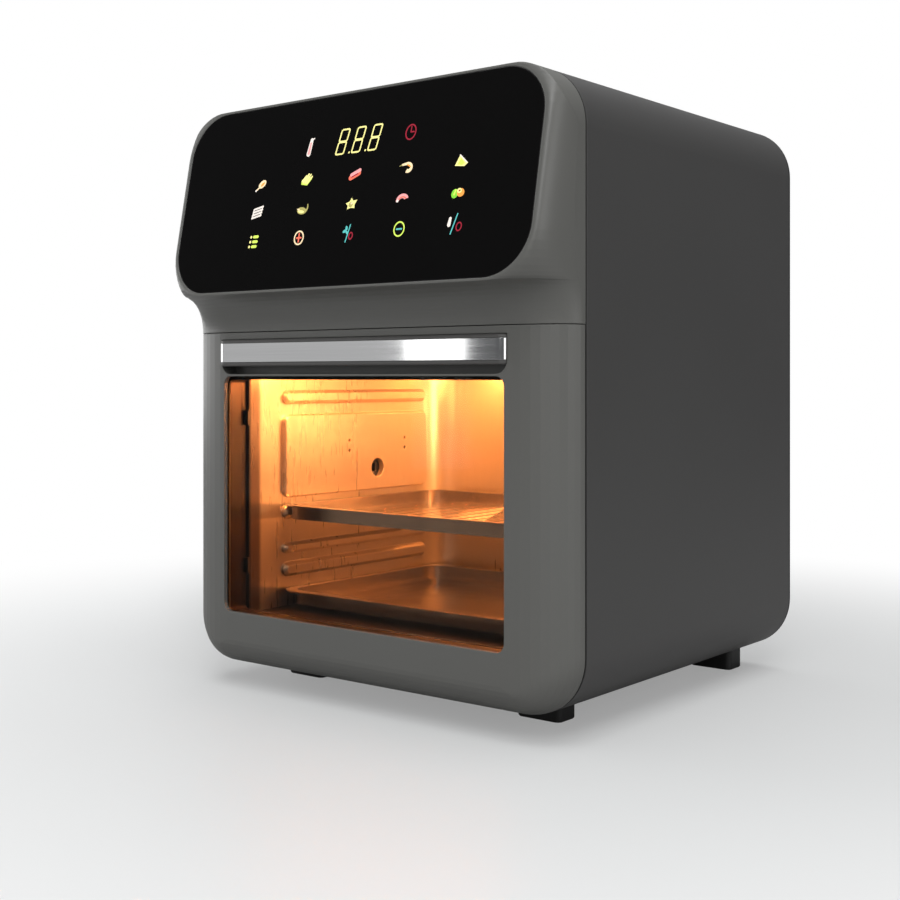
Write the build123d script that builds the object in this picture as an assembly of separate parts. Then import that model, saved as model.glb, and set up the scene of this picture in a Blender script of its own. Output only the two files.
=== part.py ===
from build123d import *
import os
from math import cos, radians, sin, sqrt, tan

# Countertop air-fryer oven: a tall rounded case with a drop-down glass door below an
# overhanging touch-control head. +X is the right-hand side, +Y runs to the back, +Z is up.
# The origin is the middle of the whole object's footprint, on the surface it stands on. mm.

# ---------------------------------------------------------------- driving dimensions
case_width = 310.0
case_depth = 310.0            # from the lip of the control head to the rear cover
rear_fixings = 2.4            # how far screw heads and gland stand out behind the cover
case_height = 384.0
foot_height = 14.0
case_corner = 36.0            # radius of the case's long edges, seen from the front
shell_wall = 1.6
moulding_wall = 2.6
sheet = 1.0                   # oven steel sheet
fit_gap = 0.3                 # between pieces that drop into one another
running_gap = 0.06            # radial, between a shaft and the hole it turns in
seam_width = 1.5              # shadow line between the front mouldings and the shell
cover_thickness = 2.2

head_overhang = 19.9          # how far the control head's lip stands before the door
front_depth = 23.5            # from the door's face back to the seam
door_height = 222.5           # from the bottom of the case to the door's top edge
lip_height = 23.6             # from the door's top edge up to the head's lip
head_rim = 1.7                # thin rim of the head left around the glass panel
panel_lean = 10.9             # degrees that the control panel leans back
panel_margin = 10.2           # from the case's side to the glass panel
panel_corner = 30.0
panel_glass = 3.0
panel_ledge = 2.4             # wall of the head left behind the glass panel
side_sweep = 42.0             # how far from the side the front faces start to curve
under_sweep = 18.0            # the same along the door's bottom edge

door_stile = 39.3             # door moulding at each side of the window
window_low = 37.0             # above the bottom of the case
window_high = 193.3
window_corner = 6.0
glass_thickness = 3.2

cavity_half_width = 115.0
cavity_floor_level = 33.0     # above the bottom of the case
cavity_depth = 204.0
cavity_corner = 25.0
guard_level = 197.5           # perforated guard under the heating element
chamber_level = 236.0         # top of the heating chamber
shield_level = 248.0          # heat shield that carries the motor and the power board

guide_depth = 4.0             # how far a tray guide stands out from the cavity wall
guide_start = 29.0            # behind the cavity's front edge
guide_length = 155.0
guide_levels = [(53.5, 10.0), (69.5, 7.5), (93.7, 9.3), (174.0, 9.3)]   # bottom, height
boss_panel_low = 108.6        # pressed panel around the rotisserie drive
boss_panel_high = 166.4
boss_panel_rise = 4.0
drive_level = 125.0           # rotisserie axis above the bottom of the case
drive_setback = 125.5         # rotisserie axis behind the cavity's front edge

tray_side_gap = 1.8           # between a tray and the cavity's wall
tray_back_gap = 11.2
tray_setback = 22.8           # tray's front edge behind the cavity's front edge
mesh_tray_drop = 8.5
drip_tray_drop = 12.4

door_gap = 0.5                # behind and above the shut door
hinge_height = 8.0            # hinge axis above the case's bottom and before the door's back
hinge_pin_radius = 2.0
hinge_offset = 104.0          # hinge arms from the middle of the door
arm_thickness = 2.5

handle_proud = 3.0
handle_corner = 4.5           # rounding of the bar's ends, seen from above
trim_thickness = 1.0
trim_proud = 0.4
handle_overlap = 1.8          # how far the handle runs past the window at each end
handle_low = 199.8            # above the bottom of the case
handle_high = 217.3
grip_depth = 11.0             # finger pocket behind the handle bar

foot_width = 32.0
foot_depth = 19.0
shaft_radius = 3.0

# ---------------------------------------------------------------- places that follow
half_width = case_width / 2
panel_half_width = half_width - panel_margin
window_half_width = half_width - door_stile
handle_half_length = window_half_width + handle_overlap
tray_half_width = cavity_half_width - tray_side_gap
tray_depth = cavity_depth - tray_setback - tray_back_gap
bottom = foot_height
top = case_height
lip_y = -(case_depth + rear_fixings) / 2
face_y = lip_y + head_overhang                  # the door's front face
seam_y = face_y + front_depth
shell_y = seam_y + seam_width
rear_y = lip_y + case_depth                     # outer face of the rear cover
cover_y = rear_y - cover_thickness
head_bottom = bottom + door_height
door_top = head_bottom - door_gap
door_back = seam_y - door_gap
lip_z = head_bottom + lip_height
head_top = top - 0.2                            # top edge of the head's flat front
cavity_y = shell_y                              # the cavity starts behind the front frame
cavity_back = cavity_y + cavity_depth
axis_y = cavity_y + cavity_depth / 2            # fan and motor axis
hinge_y = door_back - hinge_height
hinge_z = bottom + hinge_height
drive_y = cavity_y + drive_setback
drive_z = bottom + drive_level
panel_slope = tan(radians(panel_lean))


def at(level):
    """A height above the bottom of the case, in the part's own frame."""
    return bottom + level


def standing(sketch, y_front, y_back, x=0.0, z=0.0):
    """Extrude a sketch drawn in X and Z from y_front back to y_back."""
    plane = Plane(origin=(x, y_back, z), x_dir=(1, 0, 0), z_dir=(0, -1, 0))
    return extrude(plane * sketch, amount=y_back - y_front)


def sideways(sketch, x_low, x_high):
    """Extrude a sketch drawn in Y and Z from x_low to x_high."""
    plane = Plane(origin=(x_low, 0, 0), x_dir=(0, 1, 0), z_dir=(1, 0, 0))
    return extrude(plane * sketch, amount=x_high - x_low)


def flat(sketch, z_low, z_high):
    """Extrude a sketch drawn in X and Y from z_low up to z_high."""
    return extrude(Plane.XY.offset(z_low) * sketch, amount=z_high - z_low)


def block(x0, x1, y0, y1, z0, z1):
    """A box between two corners."""
    centre = ((x0 + x1) / 2, (y0 + y1) / 2, (z0 + z1) / 2)
    return Pos(*centre) * Box(x1 - x0, y1 - y0, z1 - z0)


def rod_x(x0, x1, y, z, radius):
    return Pos((x0 + x1) / 2, y, z) * Rot(0, 90, 0) * Cylinder(radius, x1 - x0)


def rod_y(x, y0, y1, z, radius):
    return Pos(x, (y0 + y1) / 2, z) * Rot(90, 0, 0) * Cylinder(radius, y1 - y0)


def rod_z(x, y, z0, z1, radius):
    return Pos(x, y, (z0 + z1) / 2) * Cylinder(radius, z1 - z0)


def case_outline(inset):
    """The case seen from the front, drawn in X and Z, moved in by inset."""
    low, high = bottom + inset, top - inset
    shape = RectangleRounded(case_width - 2 * inset, high - low, case_corner - inset)
    return Pos(0, (low + high) / 2) * shape


def window_outline(grow, radius, high=window_high):
    """The door's window seen from the front, in X and Z, let out by grow."""
    low, up = at(window_low) - grow, at(high) + grow
    shape = RectangleRounded(2 * (window_half_width + grow), up - low, radius)
    return Pos(0, (low + up) / 2) * shape


def cavity_plan(inset):
    """The cavity seen from above, in X and Y: square in front, round corners at the back."""
    width, back = 2 * (cavity_half_width - inset), cavity_back - inset
    shape = Pos(0, (cavity_y + back) / 2) * Rectangle(width, back - cavity_y)
    return fillet(shape.vertices().sort_by(Axis.Y)[2:], cavity_corner - inset)


def spread(locations, shape):
    """One sketch with a copy of a shape at each place."""
    return Sketch() + (locations * shape)


def save(name, *pieces):
    """Write one node; several pieces stay separate solids of that node."""
    solids = [solid for piece in pieces for solid in piece.solids()]
    shape = solids[0] if len(solids) == 1 else Compound(children=solids)
    export_step(shape, f"parts/{name}.step")


# ---------------------------------------------------------------- outer case
rear_screw_inset = 15.0       # rear cover screws in from the case's sides
rear_screw_x = half_width - rear_screw_inset
rear_screw_spots = [(x, at(z)) for x in (-rear_screw_x, rear_screw_x) for z in (50, 185, 320)]
gland_x, gland_z = 118.0, at(38.0)
gland_bore = 3.7              # the cord's hole
gland_length = 14.0
vent_slot = 3.2               # height of one vent slot
foot_spots = [(side * 98.0, seam_y + 44.5) for side in (-1, 1)]
foot_spots += [(side * 109.5, rear_y - 25.0) for side in (-1, 1)]


def body_shell():
    """Painted steel wrap: top, sides and bottom in one, with air slots underneath."""
    shell = standing(case_outline(0), shell_y, cover_y)
    shell -= standing(case_outline(shell_wall), shell_y - 1, rear_y)
    slots = spread(GridLocations(14, 60, 9, 2), SlotOverall(44, vent_slot, rotation=90))
    shell -= Pos(0, 20, 0) * flat(slots, bottom - 1, bottom + shell_wall + 1)
    for x, y in foot_spots:
        shell -= rod_z(x, y, bottom - 1, bottom + shell_wall + 1, foot_screw_radius)
    return shell


def rear_cover():
    """Moulded back with a locating rim, louvre slots, screw holes and the gland's hole."""
    cover = standing(case_outline(0), cover_y, rear_y)
    rim = standing(case_outline(shell_wall + fit_gap), cover_y - 8, cover_y)
    rim -= standing(case_outline(shell_wall + fit_gap + 2), cover_y - 9, cover_y + 1)
    cover += rim
    upper = Pos(0, at(300)) * spread(GridLocations(52, 9, 4, 9), SlotOverall(40, vent_slot))
    lower = Pos(0, at(110)) * spread(GridLocations(52, 9, 4, 4), SlotOverall(40, vent_slot))
    cover -= standing(upper, cover_y - 1, rear_y + 1)
    cover -= standing(lower, cover_y - 1, rear_y + 1)
    cover -= rod_y(gland_x, cover_y - 9, rear_y + 1, gland_z, gland_bore + 3 + fit_gap)
    for x, z in rear_screw_spots:
        cover += rod_y(x, cover_y - 10, cover_y, z, 4.5)
        cover -= rod_y(x, cover_y - 11, rear_y + 1, z, 1.6)
    return cover & standing(case_outline(0), cover_y - 20, rear_y)


def rear_cover_screws():
    for x, z in rear_screw_spots:
        head = rod_y(x, rear_y, rear_y + 2.0, z, 3.4)
        yield head + rod_y(x, cover_y - 9, rear_y, z, 1.5)


foot_screw_radius = 2.1
foot_corner = 4.0


def feet():
    """Black moulded feet with a domed underside edge and a screw recess."""
    for x, y in foot_spots:
        foot = Pos(x, y) * RectangleRounded(foot_width, foot_depth, foot_corner)
        foot = flat(foot, 0, foot_height)
        foot = chamfer(foot.faces().sort_by(Axis.Z)[0].edges(), 0.8)
        foot -= rod_z(x, y, -1, 6, 4.2)
        yield foot - rod_z(x, y, 5, foot_height + 1, foot_screw_radius)


def foot_screws():
    for x, y in foot_spots:
        screw = rod_z(x, y, 3.6, 6, 3.7)
        yield screw + rod_z(x, y, 6, bottom + shell_wall + 4, foot_screw_radius - 0.2)


def cord_gland():
    """Flanged bush in the rear cover that the mains cord passes through."""
    radius = gland_bore + 3
    gland = rod_y(gland_x, rear_y - gland_length, rear_y, gland_z, radius)
    gland += rod_y(gland_x, rear_y, rear_y + rear_fixings, gland_z, radius + 3)
    return gland - rod_y(gland_x, rear_y - gland_length - 1, rear_y + 4, gland_z, gland_bore)


head_screw_inset = 17.0        # screws that hold the head, in from the case's sides


def front_frame():
    """Steel bulkhead between the front mouldings and the shell, with the oven's mouth."""
    frame = standing(case_outline(shell_wall), seam_y, shell_y)
    low, high = at(cavity_floor_level), at(guard_level) - 1
    mouth = Pos(0, (low + high) / 2) * Rectangle(2 * cavity_half_width, high - low)
    frame -= standing(mouth, seam_y - 1, shell_y + 1)
    bay = Pos(0, at(306)) * RectangleRounded(opening_width - 2, opening_height + 10, 8)
    frame -= standing(bay, seam_y - 1, shell_y + 1)
    for side in (-1, 1):
        for level in (262.0, 350.0):
            frame -= rod_y(side * (half_width - head_screw_inset), seam_y - 1, shell_y + 1, at(level), 1.7)
    frame -= rod_y(switch_x, seam_y - 1, shell_y + 1, switch_z, plunger_radius + running_gap)
    return frame


# ---------------------------------------------------------------- control head
def neck_y(z):
    """Front of the head below the lip: a concave sweep from the door's face to the lip."""
    rise = min(max((z - head_bottom) / lip_height, 0.0), 0.985)
    return face_y - head_overhang * (1 - sqrt(1 - rise * rise)) / (1 - sqrt(1 - 0.985**2))


def panel_y(z):
    """Front of the head above the lip: the plane that carries the glass panel."""
    return lip_y + (z - lip_z) * panel_slope


def flat_half_width(z, inset):
    """Half-width of the head's flat front at a height, round at its four corners."""
    corner = panel_corner + head_rim - inset
    width = panel_half_width + head_rim - inset
    scale = cos(radians(panel_lean))
    below, above = (z - lip_z) / scale - inset, (head_top - z) / scale - inset
    cut = corner - min(max(min(below, above), 0.0), corner)
    return width - corner + sqrt(corner * corner - cut * cut)


def head_section(z, half, flat_half, front, back):
    """One level cut through the head: flat front, elliptical corners, straight back."""
    wide, deep = half - flat_half, back - front
    left = EllipticalCenterArc((-flat_half, back), wide, deep, 180, arc_size=90)
    right = EllipticalCenterArc((flat_half, back), wide, deep, 270, arc_size=90)
    edges = [left, Line(left @ 1, right @ 0), right, Line(right @ 1, left @ 0)]
    return Pos(0, 0, z) * make_face(edges)


def head_levels(low, high, corner):
    """Heights of the level cuts, closer together round the panel's corners."""
    turns = [corner * (1 - cos(radians(angle))) for angle in range(0, 91, 10)]
    return [low + turn for turn in turns] + [high - turn for turn in reversed(turns)]


side_trim = 0.4               # the curved front is made this much wide, then cut to the case


def head_solid(wall, front_wall, back):
    """The head's outer form, or its hollow when walls are given."""
    half = half_width - wall + side_trim
    start = head_bottom + wall
    door_flat = half_width - side_sweep
    neck_levels = [start + (lip_z - start) * step / 10 for step in range(11)]
    neck = []
    for z in neck_levels:
        share = (z - head_bottom) / lip_height
        width = door_flat * (1 - share) + (panel_half_width - panel_corner) * share
        neck.append(head_section(z, half, width - wall, neck_y(z - wall) + wall, back))
    front = []
    for z in head_levels(lip_z, head_top, panel_corner + head_rim):
        width = flat_half_width(z, 0) - wall
        front.append(head_section(z, half, width, panel_y(z) + front_wall, back))
    solid = loft(neck, ruled=True) + loft(front, ruled=True)
    return solid & standing(case_outline(wall), lip_y - 5, back)


panel_centre_z = (lip_z + head_top) / 2
panel_height = (head_top - lip_z) / cos(radians(panel_lean)) - 2 * head_rim
panel_plane = Plane(origin=(0, panel_y(panel_centre_z), panel_centre_z), x_dir=(1, 0, 0),
                    z_dir=(0, -cos(radians(panel_lean)), sin(radians(panel_lean))))


def on_panel(sketch, deep, shallow):
    """Extrude a sketch drawn on the panel's face between two depths behind that face."""
    return extrude(panel_plane.offset(-deep) * sketch, amount=deep - shallow)


def panel_outline(grow):
    width, height = 2 * (panel_half_width + grow), panel_height + 2 * grow
    return RectangleRounded(width, height, panel_corner + grow)


board_depth = 12.6            # back of the touch board behind the panel's face
board_thickness = 1.6
board_inset = 16.8            # touch board's ends in from the glass panel's
board_width, board_height = 2 * (panel_half_width - board_inset), 104.0
board_screw_x = board_width / 2 - 6
board_screw_spots = [(x, y) for x in (-board_screw_x, board_screw_x) for y in (-47, 47)]
key_centre_x, key_centre_up = 8.8, -10.5      # the key field sits right of the middle
key_pitch_x, key_pitch_up = 41.0, 18.7
key_columns = [key_centre_x + key_pitch_x * step for step in (-2, -1, 0, 1, 2)]
key_rows = [key_centre_up + key_pitch_up * step for step in (1, 0, -1)]
display_width, display_height = 54.0, 20.0
display_x, display_up = 8.0, 30.2
opening_width, opening_height = board_width - 24, 86.0   # through the head behind the glass


def control_head():
    """Moulded head: hollow, open at the back, recessed for the glass, with board bosses."""
    head = head_solid(0, 0, seam_y)
    front_wall = (panel_glass + 0.1 + panel_ledge) / cos(radians(panel_lean))
    head -= head_solid(moulding_wall, front_wall, seam_y + 1)
    head -= on_panel(panel_outline(0.2), panel_glass + 0.1, -2)
    head -= on_panel(RectangleRounded(opening_width, opening_height, 6), 20, -2)
    for x, y in board_screw_spots:
        boss = Pos(x, y) * Circle(3.4)
        head += on_panel(boss, board_depth - board_thickness, panel_glass + 0.2 + 0.1)
        head -= on_panel(Pos(x, y) * Circle(1.3), board_depth, panel_glass + 1.2)
    return head


def control_panel_glass():
    return on_panel(panel_outline(0), panel_glass, 0)


def touch_board():
    board = on_panel(RectangleRounded(board_width, board_height, 3),
                     board_depth, board_depth - board_thickness)
    for x, y in board_screw_spots:
        board -= on_panel(Pos(x, y) * Circle(1.6), board_depth + 1, board_depth - 3)
    return board


def touch_board_screws():
    for x, y in board_screw_spots:
        screw = on_panel(Pos(x, y) * Circle(2.8), board_depth + 1.8, board_depth)
        yield screw + on_panel(Pos(x, y) * Circle(1.25), board_depth, board_depth - 6)


def touch_springs():
    """Sprung contacts that carry each key from the board to the back of the glass."""
    for x in key_columns:
        for y in key_rows:
            ring = Pos(x, y) * (Circle(3.6) - Circle(2.8))
            yield on_panel(ring, board_depth - board_thickness, panel_glass + 0.05)


def display_module():
    """Three-digit lamp block between the board and the glass."""
    body = Pos(display_x, display_up) * RectangleRounded(display_width, display_height, 1.5)
    return on_panel(body, board_depth - board_thickness, panel_glass + 0.3)


def buzzer():
    return on_panel(Pos(70, 30) * Circle(6), board_depth + 7, board_depth)


# ---------------------------------------------------------------- door
def door_form(wall):
    """The door's outer form, or its hollow: elliptical edges at the sides and below."""
    depth = door_back - face_y
    faces = []
    for angle in range(0, 91, 9):
        share = 1 - cos(radians(angle))
        side, under = side_sweep * share + wall, under_sweep * share + wall
        low = bottom + under
        high = door_top - wall
        shape = Pos(0, (low + high) / 2) * Rectangle(case_width - 2 * side, high - low)
        corner = max(case_corner - side_sweep * share - wall, 0.8)
        shape = fillet(shape.vertices().sort_by(Axis.Y)[:2], corner)
        y = door_back - (depth - wall) * sin(radians(angle))
        plane = Plane(origin=(0, y, 0), x_dir=(1, 0, 0), z_dir=(0, -1, 0))
        faces.append(plane * shape)
    form = loft(faces, ruled=True)
    return form - heel_cut(wall)


def heel_cut(wall):
    """What is rounded off the door's lower back edge, about the hinge axis."""
    reach = hinge_height + 2
    corner = Pos(hinge_y + reach / 2, hinge_z - reach / 2) * Rectangle(reach, reach)
    corner -= Pos(hinge_y, hinge_z) * Circle(hinge_height - wall)
    return sideways(corner, -half_width - 1, half_width + 1)


grip_wall = 1.3
grip_half_width = handle_half_length + fit_gap
grip_low = at(window_high) + grip_wall
grip_high = at(handle_high) + fit_gap
grip_corner = 8.0
arm_slot = arm_thickness / 2 + 0.6
boss_width = 8.0
boss_height = 8.0             # above the hinge axis
hinge_side = (-1, 1)
lip_depth = 3.0               # moulding in front of the door's glass
hollow_shift = 0.05           # opens the hollow through the door's back
pane_gap = 0.7                # the moulding curves a little behind its flat
pane_y = face_y + lip_depth + pane_gap
pane_high = window_high - 0.2
pane_margin = 4.0             # glass behind the moulding round the window
seal_depth = 1.2
seal_width = 2.0
handle_screw_inset = 10.5     # handle screws in from the bar's ends
handle_screw_x = handle_half_length - handle_screw_inset
handle_screw_spots = [(side * handle_screw_x, at(208.5)) for side in hinge_side]


def grip_outline(grow):
    low, high = grip_low - grow, grip_high + grow
    shape = Rectangle(2 * (grip_half_width + grow), high - low)
    shape = fillet(shape.vertices().sort_by(Axis.Y)[:2], grip_corner + grow)
    return Pos(0, (low + high) / 2) * shape


def hinge_slot(side):
    """Room for a fixed hinge arm, from the door's back round to its underside."""
    reach = 4.0
    x = side * hinge_offset
    return block(x - arm_slot, x + arm_slot, hinge_y - reach, door_back + 1,
                 bottom - 1, hinge_z + reach)


def hinge_boss(side):
    """Moulded block that holds the hinge pin on both sides of an arm's slot."""
    x = side * hinge_offset
    reach = arm_slot + boss_width
    return block(x - reach, x + reach, face_y + 1, door_back, bottom + 1, hinge_z + boss_height)


def door_frame():
    """The door's moulding: hollow behind, with the window, finger pocket and hinge bosses."""
    form = door_form(0)
    frame = form - Pos(0, hollow_shift, 0) * door_form(lip_depth)
    frame += standing(grip_outline(grip_wall), face_y + 1, face_y + grip_depth + grip_wall) & form
    for side in hinge_side:
        frame += hinge_boss(side) & form
    frame -= standing(window_outline(0, window_corner), face_y - 1, door_back + 1)
    frame -= standing(grip_outline(0), face_y - 1, face_y + grip_depth)
    for side in hinge_side:
        frame -= hinge_slot(side)
        x = side * hinge_offset
        frame -= rod_x(x - 12, x + 12, hinge_y, hinge_z, hinge_pin_radius)
    for x, z in handle_screw_spots:
        frame -= rod_y(x, face_y, door_back, z, 1.7)
    return frame


def outer_glass():
    width = 2 * (window_half_width + pane_margin)
    low, high = at(window_low) - pane_margin, at(pane_high)
    pane = Pos(0, (low + high) / 2) * RectangleRounded(width, high - low, 3)
    return standing(pane, pane_y, pane_y + glass_thickness)


reveal_grow = 1.8             # the metal reveal stands this far outside the window
pan_wall = 1.0
pan_y = door_back - pan_wall


def glass_seal():
    """Silicone frame between the outer glass and the door's inner metal pan."""
    front = pane_y + glass_thickness
    ring = window_outline(reveal_grow + seal_width, 5, pane_high - reveal_grow - seal_width)
    ring -= window_outline(reveal_grow, 4, pane_high - reveal_grow - seal_width)
    return standing(ring, front, front + seal_depth)


def inner_pan():
    """Steel pan that closes the door's back, with a flange running forward to the seal."""
    low, high = hinge_z + boss_height + fit_gap, door_top - lip_depth - fit_gap
    inset = lip_depth + fit_gap + 4.5
    shape = Rectangle(case_width - 2 * inset, high - low)
    shape = fillet(shape.vertices().sort_by(Axis.Y)[:2], case_corner - inset)
    pan = standing(Pos(0, (low + high) / 2) * shape, pan_y, door_back)
    front = pane_y + glass_thickness + seal_depth
    tall = pane_high - reveal_grow - pan_wall - 0.6
    pan += standing(window_outline(reveal_grow + pan_wall, 4, tall), front, door_back)
    inner_high = tall
    pan -= standing(window_outline(reveal_grow, 3, inner_high), front - 1, door_back + 1)
    return pan


inner_glass_y = door_back - 5.2


def inner_glass():
    tall = pane_high - reveal_grow - pan_wall - 0.6
    pane = window_outline(reveal_grow - 0.2, 2.8, tall)
    return standing(pane, inner_glass_y, inner_glass_y + glass_thickness)


def glass_clips():
    """Folded steel clips that hold the inner glass in the pan's flange."""
    mid = at((window_low + window_high) / 2)
    for x in (-window_half_width - reveal_grow, window_half_width + reveal_grow):
        for z in (mid - 50, mid + 50):
            inward = -1 if x > 0 else 1
            near, far = sorted((x, x + inward * 4))
            yield block(near, far, inner_glass_y + glass_thickness, door_back - 0.4, z - 5, z + 5)


def hinge_pins():
    for side in hinge_side:
        x = side * hinge_offset
        yield rod_x(x - 10, x + 10, hinge_y, hinge_z, hinge_pin_radius)


def hinge_arms():
    """Steel arms fixed behind the front frame that carry the door's pins."""
    for side in hinge_side:
        x = side * hinge_offset
        near, far = x - arm_thickness / 2, x + arm_thickness / 2
        arm = block(near, far, hinge_y, shell_y + 18, hinge_z - 3, hinge_z + 3)
        arm += rod_x(near, far, hinge_y, hinge_z, 3.6)
        arm += block(near, far, shell_y, shell_y + 18, hinge_z - 3, hinge_z + 9)
        arm += block(near - 6, far + 6, shell_y, shell_y + 1.5, hinge_z - 3, hinge_z + 9)
        yield arm - rod_x(near - 1, far + 1, hinge_y, hinge_z, hinge_pin_radius + running_gap)


def hinge_arm_passages(frame):
    """Let the arms through the front frame."""
    for side in hinge_side:
        x = side * hinge_offset
        frame -= block(x - arm_slot, x + arm_slot, seam_y - 1, shell_y + 1,
                       hinge_z - 3.5, hinge_z + 3.5)
    return frame


magnet_inset = 23.0           # magnets in from the case's sides


def door_magnets():
    """Pair of magnets behind the door's top corners that hold it shut."""
    for side in hinge_side:
        x = side * (half_width - magnet_inset)
        yield block(x - 6, x + 6, door_back - 5, pan_y, at(206), at(214))


def handle_plan(grow):
    """The handle seen from above, in X and Y: round front corners, let out by grow."""
    front, back = face_y - handle_proud - grow, face_y + 2
    shape = Rectangle(2 * (handle_half_length + grow), back - front)
    shape = fillet(shape.vertices().sort_by(Axis.Y)[:2], handle_corner + grow)
    return Pos(0, (front + back) / 2) * shape


trim_low, trim_high = at(202.6), at(214.9)
trim_back = face_y - fit_gap
groove_gap = 0.1


def handle_bar():
    """Pull bar with end pillars that reach back into the finger pocket."""
    low, high = at(handle_low), at(handle_high)
    bar = flat(handle_plan(0), low, high)
    front_edges = [edge for face in (bar.faces().sort_by(Axis.Z)[0], bar.faces().sort_by(Axis.Z)[-1])
                   for edge in face.edges() if edge.center().Y < face_y]
    bar = fillet(front_edges, 1.4)
    for x, z in handle_screw_spots:
        bar += block(x - 5, x + 5, face_y + 1, face_y + grip_depth, low + 2, at(215))
        bar -= rod_y(x, face_y + 2, face_y + grip_depth + 1, z, 1.3)
    groove = flat(handle_plan(1) - handle_plan(trim_proud - trim_thickness - groove_gap),
                  trim_low - groove_gap, trim_high + groove_gap)
    return bar - (groove & block(-half_width, half_width, lip_y, trim_back + groove_gap, bottom, top))


def handle_trim():
    """Brushed aluminium strip let into the bar's front and wrapped round its ends."""
    strip = flat(handle_plan(trim_proud) - handle_plan(trim_proud - trim_thickness),
                 trim_low, trim_high)
    return strip & block(-half_width, half_width, lip_y, trim_back, bottom, top)


def handle_screws():
    for x, z in handle_screw_spots:
        back = face_y + grip_depth + grip_wall
        yield rod_y(x, back, back + 1.8, z, 2.8) + rod_y(x, back - 7, back, z, 1.25)


# ---------------------------------------------------------------- door switch
switch_x, switch_z = 128.0, at(216.0)
plunger_radius = 2.2
plunger_travel = 3.0


def switch_plunger():
    """Round plunger that the shut door pushes in."""
    plunger = rod_y(switch_x, door_back + 0.3, shell_y + 9, switch_z, plunger_radius)
    return plunger + rod_y(switch_x, shell_y + 4.6, shell_y + 6, switch_z, plunger_radius + 1.4)


def door_switch():
    """Micro switch body behind the front frame; its bore guides the plunger."""
    y0, y1 = shell_y, shell_y + 20
    body = block(switch_x - 6, switch_x + 6, y0, y1, switch_z - 8, switch_z + 8)
    body -= rod_y(switch_x, y0 - 1, shell_y + 12, switch_z, plunger_radius + running_gap)
    return body - rod_y(switch_x, shell_y + 1.0, shell_y + 6.6, switch_z, plunger_radius + 1.8)


# ---------------------------------------------------------------- oven cavity
lamp_y, lamp_z = cavity_y + 158.0, at(148.0)
lamp_radius = 15.0
probe_x, probe_z = 45.0, at(188.0)
wrap_low, wrap_high = at(cavity_floor_level) - sheet, at(chamber_level)


def guide(side, low, height):
    """One pressed tray guide: a round-ended bead standing in from the wall."""
    start, end = cavity_y + guide_start, cavity_y + guide_start + guide_length
    bead = Pos((start + end) / 2, at(low) + height / 2) * SlotOverall(guide_length, height)
    x_wall, x_face = cavity_half_width, cavity_half_width - guide_depth
    bead = sideways(bead, x_face, x_wall + 0.2)
    bead = chamfer(bead.faces().sort_by(Axis.X)[0].edges(), 2.2)
    return bead if side > 0 else mirror(bead, Plane.YZ)


def boss_panel(side):
    """Raised panel pressed into a side wall."""
    start, end = cavity_y + guide_start, cavity_y + guide_start + guide_length
    low, high = at(boss_panel_low), at(boss_panel_high)
    shape = Pos((start + end) / 2, (low + high) / 2) * RectangleRounded(end - start, high - low, 6)
    x_face = cavity_half_width - boss_panel_rise
    shape = sideways(shape, x_face, cavity_half_width + 0.2)
    shape = chamfer(shape.faces().sort_by(Axis.X)[0].edges(), 1.2)
    return shape if side > 0 else mirror(shape, Plane.YZ)


def cavity_wrap():
    """Side and back walls of the oven in one bent sheet, with guides and raised panels."""
    wrap = flat(cavity_plan(-sheet), wrap_low, wrap_high)
    wrap -= flat(cavity_plan(0), wrap_low - 1, wrap_high + 1)
    inner = flat(cavity_plan(-sheet / 2), wrap_low, wrap_high)
    for side in (-1, 1):
        for low, height in guide_levels:
            wrap += guide(side, low, height) & inner
        wrap += boss_panel(side) & inner
    reach = cavity_half_width + 5
    wrap -= rod_x(-reach, -reach + 12, drive_y, drive_z, socket_radius + 0.6)
    wrap -= rod_x(reach - 12, reach, drive_y, drive_z, bush_radius)
    wrap -= rod_x(reach - 12, reach, lamp_y, lamp_z, lamp_radius)
    for offset in (-31, 31):
        for level in (138.8, 146.2):
            wrap -= rod_x(-reach, -reach + 12, drive_y + offset, at(level), 1.3)
    return wrap - rod_y(probe_x, cavity_back - 3, cavity_back + 3, probe_z, 2.1)


def cavity_floor():
    """Flat oven floor that drops into the wrap."""
    return flat(cavity_plan(0.05), at(cavity_floor_level) - sheet, at(cavity_floor_level))


def fan_guard():
    """Perforated steel guard that shields the element and the fan from the food."""
    plate = cavity_plan(0.4)
    for radius, count in ((24, 8), (42, 14), (60, 20), (78, 26)):
        plate -= Pos(0, axis_y) * spread(PolarLocations(radius, count), SlotOverall(12, 4))
    return flat(plate, at(guard_level), at(guard_level) + sheet)


def chamber_top():
    """Lid of the heating chamber, with the shaft's hole and hot-air outlet slots."""
    plate = flat(cavity_plan(-sheet), at(chamber_level), at(chamber_level) + sheet)
    plate -= rod_z(0, axis_y, at(chamber_level) - 1, at(chamber_level) + 3, 6)
    for x, y in element_terminal_spots():
        plate -= rod_z(x, y, at(chamber_level) - 1, at(chamber_level) + 3, element_radius + 0.3)
    slots = spread(GridLocations(12, 1, 8, 1), SlotOverall(16, 3, rotation=90))
    slots = Pos(0, cavity_back - 22) * slots
    return plate - flat(slots, at(chamber_level) - 1, at(chamber_level) + 3)


element_radius = 3.3
element_level = 209.0
ring_outer, ring_inner = 88.0, 68.0
element_gap = 14.0            # degrees from the back to each end of a ring


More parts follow.
